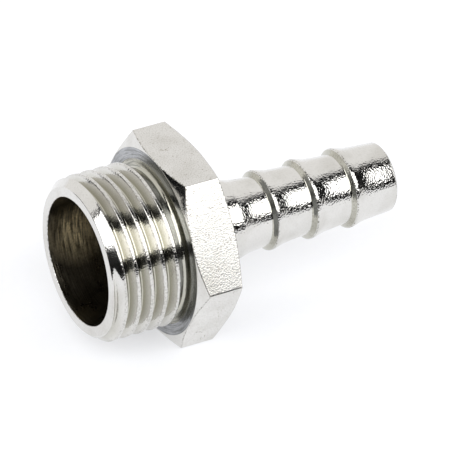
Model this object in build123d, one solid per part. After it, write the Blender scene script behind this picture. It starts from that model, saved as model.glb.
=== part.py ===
from build123d import *
import math
import os

# A hose tail turned from one hexagon bar: a parallel pipe thread, a spanner
# hexagon and a barbed spigot on one axis, with a stepped bore right through.
#
# Frame, in millimetres: +X runs along the axis from the threaded end to the
# barbed end, and +Z is up, square to the hexagon flat that the piece lies on.
# The origin is on the axis, in the face of the hexagon beside the thread.

os.makedirs("parts", exist_ok=True)

# ---- Driving dimensions ---------------------------------------------------

# Male pipe thread, G 1/2: right-hand, 55 degree form.
thread_diameter = 20.955
threads_per_inch = 14
thread_angle = 55.0
thread_depth = 1.162
crest_flat = 0.36
thread_length = 10.1
# A 45 degree lead leaves this flat rim round the mouth of the bore.
lead_rim = 1.3
lead_angle = 45.0
# The groove's middle crosses the plane below the axis this far past the end.
groove_run_in = 0.97

# Relief groove between the last thread and the hexagon, and the shallow
# recess that its tool leaves in the hexagon's face.
relief_width = 1.4
relief_below_thread = 0.06
relief_corner = 0.35
face_recess_depth = 0.12

# Spanner hexagon, its corners turned off at 30 degrees on both sides.
hex_across_flats = 24.0
hex_width = 5.9
hex_chamfer_diameter = 25.0
hex_chamfer_angle = 30.0

# Barbed spigot. Each barb has a short steep shoulder towards the hexagon, a
# narrow land, a steep nose and a long slow taper towards the tip.
tail_length = 26.6
barb_diameter = 10.24
root_diameter = 8.88
neck_length = 4.6
neck_corner = 0.3
barb_count = 3
first_barb = 9.27
barb_spacing = 5.6
barb_land = 0.34
shoulder_length = 0.44
nose_length = 0.8
nose_drop = 0.22
tip_chamfer = 0.25

# Stepped bore: a wide socket from the threaded end, then the hose bore.
socket_diameter = 16.3
socket_depth = 10.9
drill_point_angle = 118.0
hose_bore_diameter = 6.8
bore_chamfer = 0.25

# Turn about the axis that sets one flat of the hexagon level.
hex_turn = 0.0

# How far a cutting tool runs past the faces it cuts.
overrun = 0.5

# ---- Values that follow from them -----------------------------------------

INCH = 25.4
TURN_CLOSENESS = 0.75
pitch = INCH / threads_per_inch
crest_radius = thread_diameter / 2
thread_root_radius = crest_radius - thread_depth
relief_radius = thread_root_radius - relief_below_thread
socket_radius = socket_diameter / 2
hose_bore_radius = hose_bore_diameter / 2
barb_radius = barb_diameter / 2
root_radius = root_diameter / 2
thread_end = -thread_length
hex_back = hex_width
tip = hex_back + tail_length


def rise(angle, run):
    """Height gained over a run at an angle in degrees."""
    return run * math.tan(math.radians(angle))


def turned(points):
    """A solid of revolution about X from its (x, radius) outline."""
    return revolve(make_face(Polyline(*points, close=True)), Axis.X)


# ---- Threaded end ---------------------------------------------------------

def thread_blank():
    """Cylinder of the crest diameter with its lead, run on past the relief."""
    rim_radius = socket_radius + lead_rim
    lead = rise(90 - lead_angle, crest_radius - rim_radius)
    return turned([
        (thread_end, 0),
        (thread_end, rim_radius),
        (thread_end + lead, crest_radius),
        (pitch, crest_radius),
        (pitch, 0),
    ])


def thread_groove():
    """The cutter's path: a flat-bottomed vee swept along a right-hand helix.

    It starts in the air past the end of the blank and stops past the relief.
    """
    start = thread_end - groove_run_in
    turns = math.ceil((groove_run_in + thread_length) / pitch)
    half_angle = thread_angle / 2
    half_mouth = (pitch - crest_flat) / 2
    half_floor = half_mouth - rise(half_angle, thread_depth)
    # The flanks run on above the crest until the turns nearly touch.
    half_top = half_mouth + crest_flat / 2 * TURN_CLOSENESS
    top_radius = crest_radius + rise(90 - half_angle, half_top - half_mouth)
    section = Plane.XZ * make_face(Polyline(
        (thread_root_radius, -half_floor),
        (top_radius, -half_top),
        (top_radius, half_top),
        (thread_root_radius, half_floor),
        close=True,
    ))
    path = Helix(pitch, turns * pitch, crest_radius)
    groove = sweep(section, path=path, is_frenet=True)
    return Pos(start, 0, 0) * Rot(0, 90, 0) * groove


def threaded_end():
    """The threaded length, parted off square where the relief begins."""
    cut = thread_blank() - thread_groove()
    kept = Pos(-relief_width, 0, 0) * Box(
        2 * thread_length, 2 * thread_diameter, 2 * thread_diameter,
        align=(Align.MAX, Align.CENTER, Align.CENTER),
    )
    return cut & kept


# ---- Hexagon and relief ---------------------------------------------------

def hexagon():
    """Hexagon bar with both faces' corners turned off, one flat facing down."""
    bar = extrude(Plane.YZ * RegularPolygon(
        hex_across_flats / 2, 6, major_radius=False, rotation=hex_turn), hex_width)
    face_radius = hex_chamfer_diameter / 2
    corner_radius = hex_across_flats / math.sqrt(3) + overrun
    drop = rise(hex_chamfer_angle, corner_radius - face_radius)
    envelope = turned([
        (0, 0),
        (0, face_radius),
        (drop, corner_radius),
        (hex_back - drop, corner_radius),
        (hex_back, face_radius),
        (hex_back, 0),
    ])
    recess = turned([
        (-overrun, 0),
        (-overrun, crest_radius),
        (face_recess_depth, crest_radius),
        (face_recess_depth, 0),
    ])
    return (bar & envelope) - recess


def relief_core():
    """Floor of the relief groove, with a small cone in its corner."""
    return turned([
        (-relief_width, 0),
        (-relief_width, relief_radius),
        (face_recess_depth - relief_corner, relief_radius),
        (face_recess_depth, relief_radius + relief_corner),
        (hex_back / 2, relief_radius + relief_corner),
        (hex_back / 2, 0),
    ])


# ---- Barbed spigot --------------------------------------------------------

def barbed_spigot():
    """Neck, barbs and tip as one turned outline, from inside the hexagon."""
    nose_radius = barb_radius - nose_drop
    neck_end = hex_back + neck_length
    points = [
        (hex_back / 2, 0),
        (hex_back / 2, barb_radius + neck_corner),
        (hex_back, barb_radius + neck_corner),
        (hex_back + neck_corner, barb_radius),
        (neck_end, barb_radius),
        (neck_end + nose_length, nose_radius),
    ]
    for number in range(barb_count):
        crest = hex_back + first_barb + number * barb_spacing
        points += [
            (crest - shoulder_length, root_radius),
            (crest, barb_radius),
            (crest + barb_land, barb_radius),
            (crest + barb_land + nose_length, nose_radius),
        ]
    points += [
        (tip - tip_chamfer, root_radius),
        (tip, root_radius - tip_chamfer),
        (tip, 0),
    ]
    return turned(points)


# ---- Bore -----------------------------------------------------------------

def bore():
    """Socket with a drill-point floor, and the hose bore with its tip chamfer."""
    floor = thread_end + socket_depth
    cone = rise(90 - drill_point_angle / 2, socket_radius - hose_bore_radius)
    return turned([
        (thread_end - overrun, 0),
        (thread_end - overrun, socket_radius),
        (floor, socket_radius),
        (floor + cone, hose_bore_radius),
        (tip - bore_chamfer, hose_bore_radius),
        (tip, hose_bore_radius + bore_chamfer),
        (tip + overrun, hose_bore_radius + bore_chamfer),
        (tip + overrun, 0),
    ])


def hose_tail():
    """The whole turned piece."""
    body = threaded_end() + relief_core() + hexagon() + barbed_spigot()
    return body - bore()


piece = hose_tail()
export_step(piece, "parts/hose_tail.step")
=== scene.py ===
import math

import bpy
from mathutils import Matrix, Vector


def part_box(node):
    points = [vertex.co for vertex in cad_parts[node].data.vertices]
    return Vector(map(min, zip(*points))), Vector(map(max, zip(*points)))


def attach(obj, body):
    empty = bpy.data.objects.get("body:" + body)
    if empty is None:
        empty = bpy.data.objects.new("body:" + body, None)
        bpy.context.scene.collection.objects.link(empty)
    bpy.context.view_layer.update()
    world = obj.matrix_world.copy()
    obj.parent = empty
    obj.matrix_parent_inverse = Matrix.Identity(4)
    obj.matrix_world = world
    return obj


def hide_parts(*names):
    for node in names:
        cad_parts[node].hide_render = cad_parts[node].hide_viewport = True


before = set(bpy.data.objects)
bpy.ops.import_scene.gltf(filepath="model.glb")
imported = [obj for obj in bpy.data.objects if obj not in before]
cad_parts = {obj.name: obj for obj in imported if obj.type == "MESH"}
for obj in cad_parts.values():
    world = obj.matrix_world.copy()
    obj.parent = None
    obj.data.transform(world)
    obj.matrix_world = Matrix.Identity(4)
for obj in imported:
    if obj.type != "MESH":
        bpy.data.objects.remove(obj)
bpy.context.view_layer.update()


# ---- Hose tail -------------------------------------------------------------
# One piece, turned, bored and threaded from 24 mm hexagon brass bar. Its skin
# is a closed ring of outlines, one at each angle about the axis, with every
# edge broken a little as deburring and plating leave it.

# Sizes are in millimetres. An X is a place along the axis, which runs from the
# threaded end to the barbed end, and an R is a radius about it.
MM = 0.001
low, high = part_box("hose_tail")
END_X = low[0] / MM
TIP_X = high[0] / MM
HALF_FLATS = high[2] / MM
EDGE_BREAK = 0.05

SOCKET_R = 8.15
SOCKET_FLOOR_X = 0.8
# The socket ends in the cone of a 118 degree drill.
DRILL_POINT = math.tan(math.radians(31))
HOSE_BORE_R = 3.4
HOSE_BORE_START_X = round(SOCKET_FLOOR_X + (SOCKET_R - HOSE_BORE_R) * DRILL_POINT, 3)
BORE_CHAMFER = 0.25
RIM_FLAT = 0.9
LEAD_RIM_R = SOCKET_R + 1.3

PITCH = 25.4 / 14
CREST_R = 10.4775
CREST_FLAT = 0.36
THREAD_DEPTH = 1.162
THREAD_ROOT_R = CREST_R - THREAD_DEPTH
FLANK = math.tan(math.radians(27.5))
ROOT_HALF_FLAT = round((PITCH - CREST_FLAT) / 2 - THREAD_DEPTH * FLANK, 3)
ROOT_ROUNDING = 0.25
CREST_ROUNDING = 0.1
# Straight below the axis the groove's middle is at the first of these. Ahead of the
# second its root rises, by the third for each millimetre, so the lead cone stays whole.
GROOVE_START_X = END_X - 0.97
GROOVE_OPENS_X = END_X + 0.35
GROOVE_CLOSING = 4.0
# Rows of points lie this far from the middle of the groove, closest on its rounds.
# Two short steps join them to the rim and to the relief groove.
ROWS_FROM_GROOVE = (0.0, 0.06, 0.1, 0.14, 0.19, 0.28, 0.42, 0.56, 0.65, 0.7, 0.74, 0.79)
STEP_IN = 0.12

RELIEF_WIDTH = 1.4
RELIEF_R = 9.256
RELIEF_CORNER = 0.35
RECESS_DEPTH = 0.12

# The corners are turned off from the circle inside the hexagon, less at the back.
HEX_WIDTH = 5.9
HEX_FACE_R = 12.0
HEX_FRONT_CHAMFER = math.tan(math.radians(25))
HEX_BACK_CHAMFER = math.tan(math.radians(18))
HEX_CORNER_ROUND = 0.2

# Each barb has a steep shoulder, a narrow land and a nose that curves into the taper.
NECK_END_X = HEX_WIDTH + 4.6
BARB_COUNT = 3
FIRST_BARB_X = HEX_WIDTH + 9.27
BARB_SPACING = 5.6
BARB_R = 5.12
BARB_ROOT_R = 4.44
BARB_NOSE_R = 4.7
BARB_NOSE_LENGTH = 1.53
BARB_LAND = 0.34
BARB_SHOULDER = 0.44
TIP_CHAMFER = 0.25

# A corner's round takes up to this share of the sides next to it. Outer corners sharper
# than the angle get burrs and a painted dark line, a painted edge reflection; a softness above the
# last value is a long curve.
ROUND_SHARE = 0.45
DARK_EDGE_ANGLE = math.radians(150)
LONG_CURVE = 0.4
CORNER_STEPS = 3
CURVE_STEPS = 7

# Colours of the plating where it is thick and where it is dull, of its painted dark edge lines
# (a painted edge reflection) and painted shade deep in the thread, and of brass in a painted
# highlight in the bore.
NICKEL = (0.72, 0.71, 0.685)
DULL_NICKEL = (0.42, 0.40, 0.35)
DARK_NICKEL = (0.17, 0.16, 0.12)
GROOVE_SHADE_NICKEL = (0.50, 0.49, 0.425)
HIGHLIGHT_BRASS = (0.90, 0.76, 0.48)
# Where a brass painted highlight sits on the bore wall, and the radii over which it fades.
BORE_HIGHLIGHT_PLACE = (-6.2 * MM, 7.8 * MM, -1.0 * MM)
BORE_HIGHLIGHT_RADII = (5.0 * MM, 1.5 * MM)
# The thread's crests are burred, and painted dark as an edge reflection, down to this share of its
# depth.
DARK_CREST_SHARE = 0.17
CREST_DARKENING = 0.55
BURR_HEIGHT = 3.0

# Each face of the mesh carries the number of its finish in the list of finishes.
TURNED, DRAWN, FACED, BORED, TUMBLED, UNDERCUT = range(6)


def hexagon_radius(degrees_from_corner):
    """Distance from the axis to the hexagon's side, round its softened corner."""
    angle = math.radians(degrees_from_corner)
    centre = (HALF_FLATS - HEX_CORNER_ROUND) / math.cos(math.radians(30))
    if abs(degrees_from_corner) < CORNER_HALF_ROUND:
        across = centre * math.sin(angle)
        return centre * math.cos(angle) + math.sqrt(HEX_CORNER_ROUND ** 2 - across ** 2)
    return HALF_FLATS / math.cos(math.radians(30) - abs(angle))


CORNER_HALF_ROUND = math.degrees(math.atan2(
    HEX_CORNER_ROUND * 0.5,
    HALF_FLATS / math.cos(math.radians(30)) - HEX_CORNER_ROUND * math.tan(math.radians(30)) * 0.5,
))


def softened(corners):
    """Rows of an outline whose (x, radius, softness, finish after it) corners are rounded."""
    rows = []
    for number, (x, radius, softness, finish) in enumerate(corners):
        here = Vector((x, radius))
        if number == 0 or number == len(corners) - 1:
            rows.append((here, finish, 0.0))
            continue
        back = Vector(corners[number - 1][:2]) - here
        on = Vector(corners[number + 1][:2]) - here
        start = here + back.normalized() * min(softness, ROUND_SHARE * back.length)
        end = here + on.normalized() * min(softness, ROUND_SHARE * on.length)
        stands_out = back.angle(on) < DARK_EDGE_ANGLE and back.x * on.y - back.y * on.x > 0
        steps = CURVE_STEPS if softness > LONG_CURVE else CORNER_STEPS
        for step in range(steps + 1):
            t = step / steps
            point = start * (1 - t) ** 2 + here * 2 * t * (1 - t) + end * t ** 2
            # Outer corners get a painted dark line, standing in for an edge reflection.
            dark_edge = 1.0 if stands_out and 0 < step < steps else 0.0
            rows.append((point, finish, dark_edge))
    return rows


def end_face():
    """Socket mouth and the flat rim of the threaded end."""
    return softened([
        (END_X + 1.0, SOCKET_R, 0, BORED),
        (END_X, SOCKET_R, 0.12, TURNED),
        (END_X, SOCKET_R + RIM_FLAT, 0, TURNED),
    ])


def relief_and_hexagon(degrees_from_corner):
    """Relief groove, recess, hexagon faces, chamfers and flat, at one angle."""
    side = hexagon_radius(degrees_from_corner)
    face = min(HEX_FACE_R, side - EDGE_BREAK)
    return softened([
        (-RELIEF_WIDTH, RELIEF_R + 0.03, 0, TURNED),
        (-RELIEF_WIDTH, RELIEF_R, 0.03, TURNED),
        (RECESS_DEPTH - RELIEF_CORNER, RELIEF_R, 0.2, TURNED),
        (RECESS_DEPTH, RELIEF_R + RELIEF_CORNER, 0.2, FACED),
        (RECESS_DEPTH, CREST_R, 0.05, FACED),
        (0, CREST_R, 0.05, FACED),
        (0, face, 0.08, TURNED),
        ((side - face) * HEX_FRONT_CHAMFER, side, 0.15, DRAWN),
        (HEX_WIDTH - (side - face) * HEX_BACK_CHAMFER, side, 0.15, TURNED),
        (HEX_WIDTH, face, 0.08, FACED),
        (HEX_WIDTH, BARB_R + 0.6, 0, FACED),
    ])


def spigot_and_bore():
    """Neck, barbs and tip, then back along the hose bore to the socket."""
    corners = [
        (HEX_WIDTH, BARB_R + 0.5, 0, FACED),
        (HEX_WIDTH, BARB_R, 0.3, TUMBLED),
        (NECK_END_X, BARB_R, 0.15, TUMBLED),
        (NECK_END_X + BARB_NOSE_LENGTH, BARB_NOSE_R, 2.0, TUMBLED),
    ]
    for number in range(BARB_COUNT):
        x = FIRST_BARB_X + BARB_SPACING * number
        corners += [
            # The shoulder takes the darker nickel, painted shade.
            (x - BARB_SHOULDER, BARB_ROOT_R, 0.14, UNDERCUT),
            (x, BARB_R, 0.14, TUMBLED),
            (x + BARB_LAND, BARB_R, 0.12, TUMBLED),
            (x + BARB_LAND + BARB_NOSE_LENGTH, BARB_NOSE_R, 2.0, TUMBLED),
        ]
    corners += [
        (TIP_X - TIP_CHAMFER, BARB_ROOT_R, 0.1, TUMBLED),
        (TIP_X, BARB_ROOT_R - TIP_CHAMFER, 0.1, FACED),
        (TIP_X, HOSE_BORE_R + BORE_CHAMFER, 0.06, BORED),
        (TIP_X - BORE_CHAMFER, HOSE_BORE_R, 0.06, BORED),
        (HOSE_BORE_START_X, HOSE_BORE_R, 0.1, BORED),
        (SOCKET_FLOOR_X, SOCKET_R, 0.15, BORED),
        (END_X + 1.2, SOCKET_R, 0, BORED),
    ]
    return softened(corners)


def angles_about_axis():
    """Degrees from straight down, with more of them round each hexagon corner."""
    from_corner = [CORNER_HALF_ROUND * step / 3 for step in range(4)] + [1.0]
    from_corner += [2 + 28 * step / 17 for step in range(18)]
    angles = []
    for corner in range(30, 390, 60):
        angles += [corner - offset for offset in reversed(from_corner[1:])]
        angles += [corner + offset for offset in from_corner[:-1]]
    return angles


def thread_rows():
    """The thread's rows as (start along the axis, step in from the surface, push out)."""
    steps = sorted({-step for step in ROWS_FROM_GROOVE} | {*ROWS_FROM_GROOVE, PITCH / 2})
    turns = range(-2, math.ceil(-END_X / PITCH) + 3)
    every = [GROOVE_START_X + turn * PITCH + step for turn in turns for step in steps]
    first = max(number for number, x in enumerate(every) if x < END_X - PITCH)
    last = min(number for number, x in enumerate(every) if x > -RELIEF_WIDTH + 0.02)
    along = every[first:last + 1]
    rows = [(along[0], STEP_IN, -EDGE_BREAK), (along[0], EDGE_BREAK, -EDGE_BREAK)]
    rows += [(x, 0.0, 0.0) for x in along]
    rows += [(along[-1], EDGE_BREAK, EDGE_BREAK), (along[-1], STEP_IN, EDGE_BREAK)]
    return rows, len(steps)


def in_relief(point):
    """Whether a point of an outline is on the relief groove or the recess beside it."""
    near = 0.01
    beside_thread = -RELIEF_WIDTH - near < point.x < RECESS_DEPTH + near
    return beside_thread and SOCKET_R + near < point.y < CREST_R


def turned_blank():
    """The blank's mesh. What the thread needs to know is stored on its points."""
    angles = angles_about_axis()
    thread, rows_in_pitch = thread_rows()
    mouth = end_face()
    spigot = spigot_and_bore()
    points, finishes, faces = [], [], []
    stored = {"lead": [], "inset": [], "push": [], "turn": [], "edge": [], "groove_shade": []}
    for angle in angles:
        outward = Vector((0, math.sin(math.radians(angle)), -math.cos(math.radians(angle))))
        hexagon = relief_and_hexagon(angle % 60 - 30)
        column = [(row, (0.0, 0.0, 0.0)) for row in mouth]
        column += [((Vector((row[0], CREST_R)), TURNED, 0.0), row) for row in thread]
        column += [(row, (0.0, 0.0, 0.0)) for row in hexagon + spigot]
        for (point, finish, dark_edge), (lead, inset, push) in column:
            points.append((Vector((point.x, 0, 0)) + outward * point.y) * MM)
            stored["lead"].append(lead * MM)
            stored["inset"].append(inset * MM)
            stored["push"].append(push * MM)
            stored["turn"].append(angle / 360)
            stored["edge"].append(dark_edge)
            # Points on the relief groove and recess get the full painted groove shade.
            stored["groove_shade"].append(1.0 if in_relief(point) else 0.0)
        finish_of_row = [row[0][1] for row in column]
    height = len(finish_of_row)
    # After a whole turn the groove has moved on by one pitch, so the last outline
    # meets the first one a pitch further along.
    first = len(mouth) + 2
    last = first + len(thread) - 5
    for number in range(len(angles)):
        beside = (number + 1) % len(angles)
        for row in range(height):
            shift = rows_in_pitch if beside == 0 and first <= row < last else 0
            if shift and row + shift >= last:
                continue
            above = (row + 1) % height
            faces.append((
                number * height + row,
                beside * height + row + shift,
                beside * height + above + shift,
                number * height + above,
            ))
            finishes.append(finish_of_row[row])
    mesh = bpy.data.meshes.new("hose_tail_blank")
    mesh.from_pydata(points, [], faces)
    for name, values in stored.items():
        mesh.attributes.new(name, "FLOAT", "POINT").data.foreach_set("value", values)
    mesh.attributes.new("finish", "INT", "FACE").data.foreach_set("value", finishes)
    return mesh


def link_or_set(tree, socket, value):
    """Joins a socket to another one, or gives it a plain value."""
    if isinstance(value, bpy.types.NodeSocket):
        tree.links.new(value, socket)
    else:
        socket.default_value = value


def calculate(tree, operation, *values):
    """The output of a Math node with these inputs."""
    node = tree.nodes.new("ShaderNodeMath")
    node.operation = operation
    for socket, value in zip(node.inputs, values):
        link_or_set(tree, socket, value)
    return node.outputs[0]


def stored_value(tree, name, kind="FLOAT"):
    """A value stored on the mesh, read by its name."""
    node = tree.nodes.new("GeometryNodeInputNamedAttribute")
    node.data_type = kind
    node.inputs["Name"].default_value = name
    return node.outputs["Attribute"]


def store_where(tree, mesh, chosen, name, value):
    """Stores a value under a name on the chosen points, and passes the mesh on."""
    node = tree.nodes.new("GeometryNodeStoreNamedAttribute")
    node.inputs["Name"].default_value = name
    tree.links.new(mesh, node.inputs["Geometry"])
    tree.links.new(chosen, node.inputs["Selection"])
    tree.links.new(value, node.inputs["Value"])
    return node.outputs[0]


def painted(tree, mesh, finishes):
    """Gives each face the material of the finish number stored on it."""
    for number, material in enumerate(finishes):
        same = tree.nodes.new("FunctionNodeCompare")
        same.data_type = "INT"
        same.operation = "EQUAL"
        whole_numbers = [socket for socket in same.inputs if socket.type == "INT"]
        tree.links.new(stored_value(tree, "finish", "INT"), whole_numbers[0])
        whole_numbers[1].default_value = number
        paint = tree.nodes.new("GeometryNodeSetMaterial")
        paint.inputs["Material"].default_value = material
        tree.links.new(same.outputs["Result"], paint.inputs["Selection"])
        tree.links.new(mesh, paint.inputs["Geometry"])
        mesh = paint.outputs[0]
    return mesh


def thread_tree(finishes):
    """Geometry Nodes that cut the 55 degree pipe thread into the blank's stored rows."""
    tree = bpy.data.node_groups.new("cut_pipe_thread", "GeometryNodeTree")
    tree.interface.new_socket("Blank", in_out="INPUT", socket_type="NodeSocketGeometry")
    for name in ("Pitch", "Crest Radius", "Root Radius", "Root Half Flat", "Root Rounding",
                 "Crest Rounding", "Groove Start", "Groove Opens", "Thread End", "Relief Side",
                 "Lead Rim Radius", "Lowest Radius"):
        tree.interface.new_socket(name, in_out="INPUT", socket_type="NodeSocketFloat")
    tree.interface.new_socket("Hose Tail", in_out="OUTPUT", socket_type="NodeSocketGeometry")
    given = tree.nodes.new("NodeGroupInput").outputs

    # Where each point lies along the axis, and how far from the middle of the groove.
    lead = stored_value(tree, "lead")
    turn = stored_value(tree, "turn")
    advance = calculate(tree, "MULTIPLY", given["Pitch"], turn)
    along = calculate(tree, "ADD", lead, advance)
    along = calculate(tree, "MAXIMUM", along, given["Thread End"])
    along = calculate(tree, "MINIMUM", along, given["Relief Side"])
    half_pitch = calculate(tree, "MULTIPLY", given["Pitch"], 0.5)
    behind = calculate(tree, "MULTIPLY", half_pitch, -1.0)
    groove = calculate(tree, "ADD", given["Groove Start"], advance)
    from_groove = calculate(tree, "SUBTRACT", along, groove)
    from_groove = calculate(tree, "WRAP", from_groove, half_pitch, behind)
    centre = calculate(tree, "SUBTRACT", along, from_groove)
    unopened = calculate(tree, "SUBTRACT", given["Groove Opens"], centre)
    unopened = calculate(tree, "MAXIMUM", unopened, 0.0)
    unopened = calculate(tree, "MULTIPLY", unopened, GROOVE_CLOSING)
    from_groove = calculate(tree, "ABSOLUTE", from_groove)

    # The radius there: up from the rounded root, and down to the crest and the lead.
    up_flank = calculate(tree, "SUBTRACT", from_groove, given["Root Half Flat"])
    up_flank = calculate(tree, "DIVIDE", up_flank, FLANK)
    up_flank = calculate(tree, "SMOOTH_MAX", up_flank, 0.0, given["Root Rounding"])
    radius = calculate(tree, "ADD", given["Root Radius"], up_flank)
    radius = calculate(tree, "ADD", radius, unopened)
    radius = calculate(tree, "SMOOTH_MIN", radius, given["Crest Radius"], given["Crest Rounding"])
    past_end = calculate(tree, "SUBTRACT", along, given["Thread End"])
    lead_in = calculate(tree, "ADD", given["Lead Rim Radius"], past_end)
    radius = calculate(tree, "SMOOTH_MIN", radius, lead_in, given["Crest Rounding"])
    radius = calculate(tree, "SUBTRACT", radius, stored_value(tree, "inset"))
    radius = calculate(tree, "MAXIMUM", radius, given["Lowest Radius"])

    angle = calculate(tree, "MULTIPLY", turn, math.tau)
    sideways = calculate(tree, "MULTIPLY", radius, calculate(tree, "SINE", angle))
    upward = calculate(tree, "MULTIPLY", radius, calculate(tree, "COSINE", angle))
    place = tree.nodes.new("ShaderNodeCombineXYZ")
    link_or_set(tree, place.inputs["X"], calculate(tree, "ADD", along, stored_value(tree, "push")))
    link_or_set(tree, place.inputs["Y"], sideways)
    link_or_set(tree, place.inputs["Z"], calculate(tree, "MULTIPLY", upward, -1.0))

    # What the materials read: how deep each point is in the groove, for its painted shade, and the
    # crest, for its painted dark edge line.
    uncut = calculate(tree, "MINIMUM", given["Crest Radius"], lead_in)
    deepest = calculate(tree, "SUBTRACT", given["Crest Radius"], given["Root Radius"])
    depth = calculate(tree, "DIVIDE", calculate(tree, "SUBTRACT", uncut, radius), deepest)
    past_lead = calculate(tree, "GREATER_THAN", lead_in, given["Crest Radius"])
    crest = calculate(tree, "LESS_THAN", depth, DARK_CREST_SHARE)
    dark_crest = calculate(tree, "MULTIPLY", calculate(tree, "MULTIPLY", crest, past_lead), CREST_DARKENING)
    threaded = calculate(tree, "LESS_THAN", lead, 0.0)
    # Painted shade: the groove depth is stored so that the plating is painted darker deeper in the
    # thread.
    marked = store_where(tree, given["Blank"], threaded, "groove_shade", depth)
    marked = store_where(tree, marked, threaded, "edge", dark_crest)

    cut = tree.nodes.new("GeometryNodeSetPosition")
    tree.links.new(marked, cut.inputs["Geometry"])
    tree.links.new(place.outputs[0], cut.inputs["Position"])
    tree.links.new(threaded, cut.inputs["Selection"])
    merge = tree.nodes.new("GeometryNodeMergeByDistance")
    merge.inputs["Distance"].default_value = 0.001 * MM
    tree.links.new(cut.outputs[0], merge.inputs["Geometry"])
    smooth = tree.nodes.new("GeometryNodeSetShadeSmooth")
    tree.links.new(merge.outputs[0], smooth.inputs["Geometry"])
    realize = tree.nodes.new("GeometryNodeRealizeInstances")
    tree.links.new(smooth.outputs[0], realize.inputs[0])
    made = painted(tree, realize.outputs[0], finishes)
    tree.links.new(made, tree.nodes.new("NodeGroupOutput").inputs[0])
    return tree


def effect_group(name, inputs, outputs):
    """An empty shader node group with named number inputs and outputs, reading a position."""
    group = bpy.data.node_groups.new(name, "ShaderNodeTree")
    group.interface.new_socket("Position", in_out="INPUT", socket_type="NodeSocketVector")
    for label, value in inputs.items():
        socket = group.interface.new_socket(label, in_out="INPUT", socket_type="NodeSocketFloat")
        socket.default_value = value
    for label in outputs:
        group.interface.new_socket(label, in_out="OUTPUT", socket_type="NodeSocketFloat")
    return group, group.nodes.new("NodeGroupInput").outputs, group.nodes.new("NodeGroupOutput").inputs


def noise(tree, position, scale, detail=2.0, roughness=0.5):
    """A noise pattern's value at a position."""
    node = tree.nodes.new("ShaderNodeTexNoise")
    link_or_set(tree, node.inputs["Vector"], position)
    link_or_set(tree, node.inputs["Scale"], scale)
    node.inputs["Detail"].default_value = detail
    node.inputs["Roughness"].default_value = roughness
    return node.outputs["Fac"]


def ranged(tree, value, from_low, from_high, to_low=0.0, to_high=1.0):
    """A value moved from one range to another and held inside it."""
    node = tree.nodes.new("ShaderNodeMapRange")
    for socket, given in zip(node.inputs, (value, from_low, from_high, to_low, to_high)):
        link_or_set(tree, socket, given)
    return node.outputs["Result"]


def mixed(tree, share, first, second):
    """One colour going over into another by this share."""
    node = tree.nodes.new("ShaderNodeMix")
    node.data_type = "RGBA"
    link_or_set(tree, node.inputs["Factor"], share)
    link_or_set(tree, node.inputs[6], first)
    link_or_set(tree, node.inputs[7], second)
    return node.outputs[2]


def stored_number(tree, name):
    """A number stored on the mesh, read by a material."""
    node = tree.nodes.new("ShaderNodeAttribute")
    node.attribute_name = name
    return node.outputs["Fac"]


def turning_marks_group():
    """Fine rings left by the lathe tool, the same on cylinders, cones and faces."""
    group, given, result = effect_group(
        "turning_marks", {"Rings per mm": 9.0, "Break Up": 2.0}, ("Rings", "Bands"))
    parts = group.nodes.new("ShaderNodeSeparateXYZ")
    group.links.new(given["Position"], parts.inputs[0])
    x, y, z = parts.outputs
    squares = calculate(group, "MULTIPLY_ADD", y, y, calculate(group, "MULTIPLY", z, z))
    radius = calculate(group, "SQRT", squares)
    along = calculate(group, "DIVIDE", calculate(group, "ADD", x, radius), MM)
    around_y = calculate(group, "MULTIPLY", calculate(group, "DIVIDE", y, radius), given["Break Up"])
    around_z = calculate(group, "MULTIPLY", calculate(group, "DIVIDE", z, radius), given["Break Up"])
    for label, share in (("Rings", 1.0), ("Bands", 0.14)):
        place = group.nodes.new("ShaderNodeCombineXYZ")
        rings = calculate(group, "MULTIPLY", along, given["Rings per mm"])
        rings = calculate(group, "MULTIPLY", rings, share)
        link_or_set(group, place.inputs[0], rings)
        link_or_set(group, place.inputs[1], around_y)
        link_or_set(group, place.inputs[2], around_z)
        group.links.new(noise(group, place.outputs[0], 1.0, 3.0, 0.6), result[label])
    return group


def plating_grain_group():
    """Pebbled grain, small pits, slow tone changes and burr of nickel plated over brass."""
    group, given, result = effect_group(
        "plating_grain", {"Grain per mm": 5.0, "Pits": 0.3},
        ("Grain", "Pits", "Tone", "Burr", "Facets"))
    scale = calculate(group, "DIVIDE", given["Grain per mm"], MM)
    group.links.new(noise(group, given["Position"], scale, 1.0), result["Grain"])
    group.links.new(noise(group, given["Position"], 4.5 / MM, 1.0), result["Burr"])
    group.links.new(noise(group, given["Position"], 0.26 / MM), result["Tone"])
    facets = group.nodes.new("ShaderNodeTexVoronoi")
    group.links.new(given["Position"], facets.inputs["Vector"])
    group.links.new(scale, facets.inputs["Scale"])
    group.links.new(facets.outputs["Distance"], result["Facets"])

    # Pits come in loose groups: one in each cell where a much broader noise is high.
    cells = group.nodes.new("ShaderNodeTexVoronoi")
    group.links.new(given["Position"], cells.inputs["Vector"])
    group.links.new(calculate(group, "MULTIPLY", scale, 0.5), cells.inputs["Scale"])
    moved = group.nodes.new("ShaderNodeVectorMath")
    group.links.new(given["Position"], moved.inputs[0])
    moved.inputs[1].default_value = (0.031, 0.012, 0.007)
    rare = noise(group, moved.outputs[0], calculate(group, "MULTIPLY", scale, 0.13), 1.0)
    reach = calculate(group, "MULTIPLY", ranged(group, rare, 0.45, 0.75), given["Pits"])
    near = calculate(group, "SUBTRACT", reach, cells.outputs["Distance"])
    group.links.new(ranged(group, near, 0.0, 0.06), result["Pits"])
    return group


turning_marks = turning_marks_group()
plating_grain = plating_grain_group()


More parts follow.
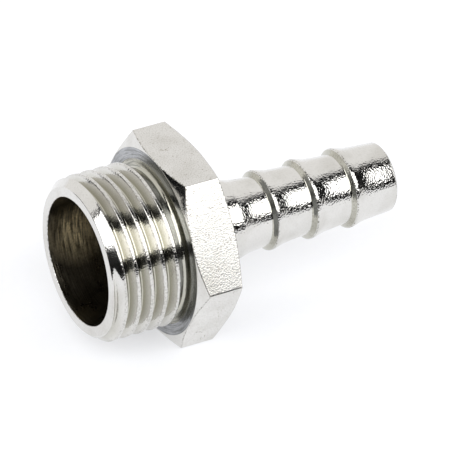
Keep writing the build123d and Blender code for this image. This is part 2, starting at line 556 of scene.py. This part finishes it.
def plated(name, tone, shade, roughness, rings, ring_depth, break_up, grain, grain_depth, pits,
           speckle, scored=0.0, rubbed=0.0, facets=0.0):
    """Bright nickel over brass: a metal whose tone, gloss and relief change over the surface."""
    material = bpy.data.materials.new(name)
    material.use_nodes = True
    tree = material.node_tree
    shader = tree.nodes["Principled BSDF"]
    shader.inputs["Metallic"].default_value = 1.0
    position = tree.nodes.new("ShaderNodeTexCoord").outputs["Object"]
    marks = tree.nodes.new("ShaderNodeGroup")
    marks.node_tree = turning_marks
    marks.inputs["Rings per mm"].default_value = rings
    marks.inputs["Break Up"].default_value = break_up
    plate = tree.nodes.new("ShaderNodeGroup")
    plate.node_tree = plating_grain
    plate.inputs["Grain per mm"].default_value = grain
    plate.inputs["Pits"].default_value = pits
    tree.links.new(position, marks.inputs["Position"])
    tree.links.new(position, plate.inputs["Position"])

    # Colour: the plating's own, painted shade deep in the thread, a brass painted highlight in the
    # bore, dulling by tone, grain, scoring and pits, and last painted dark lines along edges as an
    # edge reflection.
    edge = stored_number(tree, "edge")
    apart = tree.nodes.new("ShaderNodeVectorMath")
    apart.operation = "DISTANCE"
    tree.links.new(position, apart.inputs[0])
    apart.inputs[1].default_value = BORE_HIGHLIGHT_PLACE
    # Painted highlight: a brass-coloured patch at one place on the bore wall.
    bore_highlight_share = ranged(tree, apart.outputs["Value"], *BORE_HIGHLIGHT_RADII, 0.0, rubbed)
    bore_highlight_share = calculate(tree, "MULTIPLY", bore_highlight_share, ranged(tree, marks.outputs["Rings"], 0.35, 0.6, 0.25))
    dulled = ranged(tree, plate.outputs["Tone"], 0.45, 0.75, 0.0, 0.3)
    speckled = ranged(tree, plate.outputs["Grain"], 0.52, 0.3, 0.0, speckle)
    scratched = ranged(tree, marks.outputs["Rings"], 0.58, 0.4, 0.0, scored)
    dulled = calculate(tree, "ADD", calculate(tree, "ADD", dulled, speckled), scratched)
    dulled = calculate(tree, "MINIMUM", dulled, 1.0)
    dulled = calculate(tree, "MAXIMUM", dulled, plate.outputs["Pits"])
    # Painted edge reflection: dark, broken lines along outer edges and thread crests.
    dark_edge = ranged(tree, edge, 0.2, 1.0, 0.0, 0.8)
    dark_edge = calculate(tree, "MULTIPLY", dark_edge, ranged(tree, plate.outputs["Burr"], 0.47, 0.6))
    # Painted shade: darker deeper in the thread and in the relief groove.
    painted_groove_shade = ranged(tree, stored_number(tree, "groove_shade"), 0.1, 0.9)
    colour = mixed(tree, painted_groove_shade, (*tone, 1), (*GROOVE_SHADE_NICKEL, 1))
    colour = mixed(tree, bore_highlight_share, colour, (*HIGHLIGHT_BRASS, 1))
    colour = mixed(tree, dulled, colour, (*shade, 1))
    colour = mixed(tree, dark_edge, colour, (*DARK_NICKEL, 1))
    tree.links.new(colour, shader.inputs["Base Color"])

    spread = ranged(tree, marks.outputs["Bands"], 0.3, 0.7, roughness * 0.8, roughness * 1.25)
    spread = calculate(tree, "MULTIPLY_ADD", plate.outputs["Pits"], 0.25, spread)
    spread = calculate(tree, "MULTIPLY_ADD", bore_highlight_share, 0.3, spread)
    tree.links.new(spread, shader.inputs["Roughness"])

    ring_height = calculate(tree, "MULTIPLY", marks.outputs["Rings"], ring_depth)
    grain_height = calculate(tree, "MULTIPLY", plate.outputs["Grain"], grain_depth)
    height = calculate(tree, "ADD", ring_height, grain_height)
    height = calculate(tree, "MULTIPLY_ADD", plate.outputs["Pits"], -grain_depth, height)
    height = calculate(tree, "MULTIPLY_ADD", plate.outputs["Facets"], facets, height)
    burr = calculate(tree, "MULTIPLY", plate.outputs["Burr"], edge)
    height = calculate(tree, "MULTIPLY_ADD", burr, BURR_HEIGHT, height)
    bump = tree.nodes.new("ShaderNodeBump")
    bump.inputs["Strength"].default_value = 1.0
    bump.inputs["Distance"].default_value = 0.01 * MM
    tree.links.new(height, bump.inputs["Height"])
    tree.links.new(bump.outputs["Normal"], shader.inputs["Normal"])
    return material


finishes = [
    plated("turned_nickel", NICKEL, DULL_NICKEL, roughness=0.10, rings=9.0, ring_depth=0.3,
           break_up=3.0, grain=4.5, grain_depth=0.9, pits=0.12, speckle=0.15),
    plated("drawn_nickel", NICKEL, DULL_NICKEL, roughness=0.14, rings=5.0, ring_depth=0.0,
           break_up=2.0, grain=6.0, grain_depth=0.6, pits=0.43, speckle=0.4),
    # Painted shade: the turned faces get a darker tone and dark scoring over their turning scratches.
    plated("faced_nickel_painted_shade", (0.44, 0.45, 0.465), (0.08, 0.08, 0.075), roughness=0.2, rings=5.0,
           ring_depth=1.6, break_up=3.5, grain=4.0, grain_depth=0.6, pits=0.12, speckle=0.2,
           scored=0.5),
    # Painted shade: the bore's near-black tone stands in for the shade inside it.
    plated("bored_brass_painted_shade", (0.13, 0.115, 0.085), (0.05, 0.04, 0.03), roughness=0.3, rings=4.0,
           ring_depth=4.5, break_up=3.0, grain=4.0, grain_depth=0.3, pits=0.05, speckle=0.3,
           rubbed=1.0),
    plated("tumbled_nickel", NICKEL, DULL_NICKEL, roughness=0.06, rings=5.0, ring_depth=0.3,
           break_up=24.0, grain=4.4, grain_depth=2.3, pits=0.05, speckle=0.1, facets=1.8),
    # The barbs' shoulders face back towards the hexagon: their darker tone is painted shade.
    plated("shoulder_nickel_painted_shade", (0.52, 0.51, 0.45), DARK_NICKEL, roughness=0.07, rings=6.0,
           ring_depth=0.8, break_up=4.0, grain=4.0, grain_depth=1.0, pits=0.1, speckle=0.3),
]

hose_tail = bpy.data.objects.new("hose_tail_plated", turned_blank())
bpy.context.scene.collection.objects.link(hose_tail)
cutter = hose_tail.modifiers.new("Pipe thread", "NODES")
cutter.node_group = thread_tree(finishes)
sizes = {
    "Pitch": PITCH,
    "Crest Radius": CREST_R,
    "Root Radius": THREAD_ROOT_R,
    "Root Half Flat": ROOT_HALF_FLAT,
    "Root Rounding": ROOT_ROUNDING,
    "Crest Rounding": CREST_ROUNDING,
    "Groove Start": GROOVE_START_X,
    "Groove Opens": GROOVE_OPENS_X,
    "Thread End": END_X + EDGE_BREAK,
    "Relief Side": -RELIEF_WIDTH - EDGE_BREAK,
    "Lead Rim Radius": LEAD_RIM_R,
    "Lowest Radius": RELIEF_R + 0.04,
}
for item in cutter.node_group.interface.items_tree:
    if item.in_out == "INPUT" and item.name in sizes:
        cutter[item.identifier] = sizes[item.name] * MM
evened = hose_tail.modifiers.new("Even shading", "WEIGHTED_NORMAL")
evened.keep_sharp = False
bpy.context.view_layer.update()
graph = bpy.context.evaluated_depsgraph_get()
finished_mesh = bpy.data.meshes.new_from_object(
    hose_tail.evaluated_get(graph), preserve_all_data_layers=True, depsgraph=graph)
hose_tail.modifiers.clear()
hose_tail.data = finished_mesh

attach(hose_tail, "root")
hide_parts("hose_tail")


# ---- Floor -----------------------------------------------------------------
# A broad sheet of matt white paper, level with the flat that the part rests on.
# It is lit to white, and the part leaves its soft shadow on it.

FLOOR_HALF = 1.5
PAPER_TONES = ((0.41, 0.415, 0.43, 1), (0.43, 0.435, 0.45, 1))
PAPER_GLOW = (0.98, 0.985, 1, 1)
PAPER_GLOW_STRENGTH = 0.57

floor_mesh = bpy.data.meshes.new("floor")
floor_mesh.from_pydata(
    [(-FLOOR_HALF, -FLOOR_HALF, low[2]), (FLOOR_HALF, -FLOOR_HALF, low[2]),
     (FLOOR_HALF, FLOOR_HALF, low[2]), (-FLOOR_HALF, FLOOR_HALF, low[2])],
    [], [(0, 1, 2, 3)])
floor = bpy.data.objects.new("floor", floor_mesh)
bpy.context.scene.collection.objects.link(floor)
paper = bpy.data.materials.new("white_paper")
paper.use_nodes = True
paper_tree = paper.node_tree
paper_shader = paper_tree.nodes["Principled BSDF"]
paper_shader.inputs["Roughness"].default_value = 1.0
paper_shader.inputs["Specular IOR Level"].default_value = 0.0
fibres = noise(paper_tree, paper_tree.nodes.new("ShaderNodeTexCoord").outputs["Object"], 0.9 / MM)
paper_tree.links.new(mixed(paper_tree, fibres, *PAPER_TONES), paper_shader.inputs["Base Color"])
paper_shader.inputs["Emission Color"].default_value = PAPER_GLOW
seen = paper_tree.nodes.new("ShaderNodeLightPath")
seen_directly = calculate(paper_tree, "MAXIMUM", seen.outputs["Is Camera Ray"],
                          seen.outputs["Is Glossy Ray"])
seen_directly = calculate(paper_tree, "MAXIMUM", seen_directly, seen.outputs["Is Transmission Ray"])
paper_tree.links.new(calculate(paper_tree, "MULTIPLY", seen_directly, PAPER_GLOW_STRENGTH),
                     paper_shader.inputs["Emission Strength"])
floor_mesh.materials.append(paper)


# ---- Light -----------------------------------------------------------------
# A pale tent all round and a soft box high in front. The cards above, beside,
# low in front and beyond the threaded end give bright plating its dark edges.

TENT_WHITE = (0.98, 0.97, 0.96, 1)
BOX_WHITE = 0.8
BOX_GLOW = 2.2
GREY = 0.3
BLACK = 0.01

world = bpy.data.worlds.new("pale_tent")
world.use_nodes = True
tent = world.node_tree.nodes["Background"]
tent.inputs["Color"].default_value = TENT_WHITE
tent.inputs["Strength"].default_value = 1.0
bpy.context.scene.world = world


def sheet_of(name, shade, glow, corners):
    """A flat sheet beside the part that lights it or darkens its reflections."""
    mesh = bpy.data.meshes.new(name)
    half = len(corners) // 2
    mesh.from_pydata(corners, [], [
        (number, number + 1, number + half + 1, number + half) for number in range(half - 1)])
    sheet = bpy.data.objects.new(name, mesh)
    bpy.context.scene.collection.objects.link(sheet)
    material = bpy.data.materials.new(name)
    material.use_nodes = True
    shader = material.node_tree.nodes["Principled BSDF"]
    shader.inputs["Base Color"].default_value = (shade, shade, shade, 1)
    shader.inputs["Roughness"].default_value = 1.0
    shader.inputs["Specular IOR Level"].default_value = 0.0
    shader.inputs["Emission Color"].default_value = (1, 1, 1, 1)
    shader.inputs["Emission Strength"].default_value = glow
    mesh.materials.append(material)
    sheet.visible_camera = False
    sheet.visible_shadow = False


# Lower corners come first, then the upper ones, both from left to right.
sheet_of("soft_box", BOX_WHITE, BOX_GLOW, [
    (-2.35, -0.72, 0.45), (-1.5, -0.85, 0.43), (-0.3, -1.0, 0.40), (2.6, -1.1, 0.41),
    (-2.1, 0.43, 1.0), (-1.2, 0.43, 1.0), (-0.3, -0.41, 1.0), (2.6, -0.41, 1.0),
])
sheet_of("top_card", BLACK, 0.0, [
    (-2.1, 0.44, 1.0), (-1.2, 0.44, 1.0), (-0.3, -0.40, 1.0), (3.0, -0.40, 1.0),
    (-2.1, 0.62, 1.0), (-1.0, 0.62, 1.0), (-0.1, -0.08, 1.0), (3.0, -0.08, 1.0),
])
sheet_of("grey_card", GREY, 0.0, [
    (-0.1, -0.08, 1.0), (3.0, -0.08, 1.0),
    (-0.1, 0.07, 1.0), (3.0, 0.07, 1.0),
])
sheet_of("side_card", BLACK, 0.0, [
    (0.080, -0.078, 0.018), (0.6, -0.078, 0.018),
    (0.080, -0.024, 0.078), (0.6, -0.024, 0.078),
])
sheet_of("low_card", BLACK, 0.0, [
    (-0.92, -0.5, -0.01), (-0.3, -1.0, -0.01), (0.4, -0.92, 0.0), (1.4, -1.0, 0.0),
    (-0.92, -0.5, 0.31), (-0.3, -1.0, 0.378), (0.4, -0.92, 0.352), (1.4, -1.0, 0.378),
])
sheet_of("corner_card", BLACK, 0.0, [
    (-0.100, 0.012, -0.0119), (-0.070, 0.085, -0.0119),
    (-0.100, 0.012, 0.030), (-0.070, 0.085, 0.030),
])
sheet_of("end_card", BLACK, 0.0, [
    (-0.083, -0.020, -0.0119), (-0.083, -0.080, -0.0119),
    (-0.083, -0.020, 0.032), (-0.083, -0.080, 0.030),
])


# ---- Camera ----------------------------------------------------------------
# A long lens above and to the left of the threaded end, rolled a little. It is far
# enough away for the hexagon's edges to look nearly parallel.

AZIMUTH = -29.552
ELEVATION = 34.380
ROLL = 1.987
DISTANCE = 0.7
LENS = 451.458
SENSOR = 36
LOOK_AT = Vector((0.008789, -0.003453, 0.001511))

camera = bpy.data.objects.new("camera", bpy.data.cameras.new("camera"))
camera.data.lens = LENS
camera.data.sensor_width = SENSOR
camera.data.clip_start = 0.05
camera.data.clip_end = 20
turn = math.radians(AZIMUTH)
tilt = math.radians(ELEVATION)
away = Vector((math.sin(turn) * math.cos(tilt), -math.cos(turn) * math.cos(tilt), math.sin(tilt)))
camera.matrix_world = (
    Matrix.Translation(LOOK_AT + away * DISTANCE)
    @ Matrix.Rotation(turn, 4, "Z")
    @ Matrix.Rotation(math.radians(90) - tilt, 4, "X")
    @ Matrix.Rotation(math.radians(ROLL), 4, "Z")
)
bpy.context.scene.collection.objects.link(camera)
bpy.context.scene.camera = camera
bpy.context.scene.view_settings.view_transform = "Standard"
